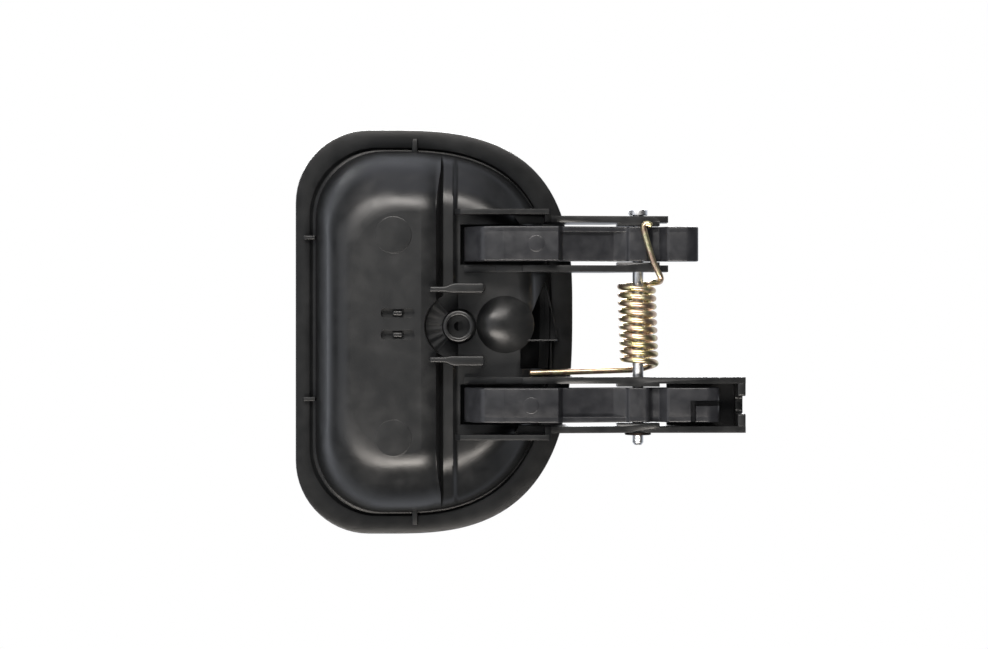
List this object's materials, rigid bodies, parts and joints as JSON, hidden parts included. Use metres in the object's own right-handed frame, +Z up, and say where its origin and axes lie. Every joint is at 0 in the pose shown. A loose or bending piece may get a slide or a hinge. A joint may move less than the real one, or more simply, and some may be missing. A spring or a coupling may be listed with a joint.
{
  "type": "car door handle",
  "caption": "Flush outside door handle: a cupped escutcheon with a pull flap on two gooseneck arms, hinged on a pin in rear channels and closed by a torsion spring.",
  "frame": {"origin": "middle of the escutcheon's opening, in the plane where the rim's rear face meets the door skin", "axes": "+X from the finger cup towards the hinge pin, +Y out of the door, +Z up along the hinge pin; -Y is the way the handle goes into the door"},
  "size_m": [0.1332, 0.03, 0.1212],
  "materials": {
    "black_moulding": "satin, fine moulded texture",
    "lever_moulding": "semi-gloss, glass-filled",
    "zinc_plated_pin": "bright zinc",
    "blackened_retainer": "dark phosphate",
    "yellow_zinc_spring": "yellow zinc passivate on drawn wire",
    "stop_rubber": "matt"
  },
  "bodies": {
    "housing": {"escutcheon_pan": "black_moulding", "upper_outer_cheek": "black_moulding", "upper_inner_cheek": "black_moulding", "lower_outer_cheek": "black_moulding", "lower_inner_cheek": "black_moulding", "lower_channel_web": "black_moulding", "cable_end_wall": "black_moulding", "screw_boss": "black_moulding", "upper_guide_fin": "black_moulding", "lower_guide_fin": "black_moulding", "rim_rib_left_upper": "black_moulding", "rim_rib_left_lower": "black_moulding", "rim_rib_top": "black_moulding", "rim_rib_bottom": "black_moulding", "flap_stop_upper": "stop_rubber", "flap_stop_lower": "stop_rubber", "pivot_pin": "zinc_plated_pin", "pin_retainer": "blackened_retainer", "return_spring": "yellow_zinc_spring"},
    "lever": {"pull_flap": "black_moulding", "upper_lever_arm": "lever_moulding", "lower_lever_arm": "lever_moulding"}
  },
  "joints": [
    {"name": "flap_hinge", "type": "hinge", "parent": "housing", "child": "lever", "pos_m": [0.0604, -0.015, 0], "axis": [0, 0, -1], "range_deg": [0, 22], "stiffness_Nm_per_rad": 0.35, "springref_deg": -60.16, "deforming": ["return_spring"]}
  ]
}
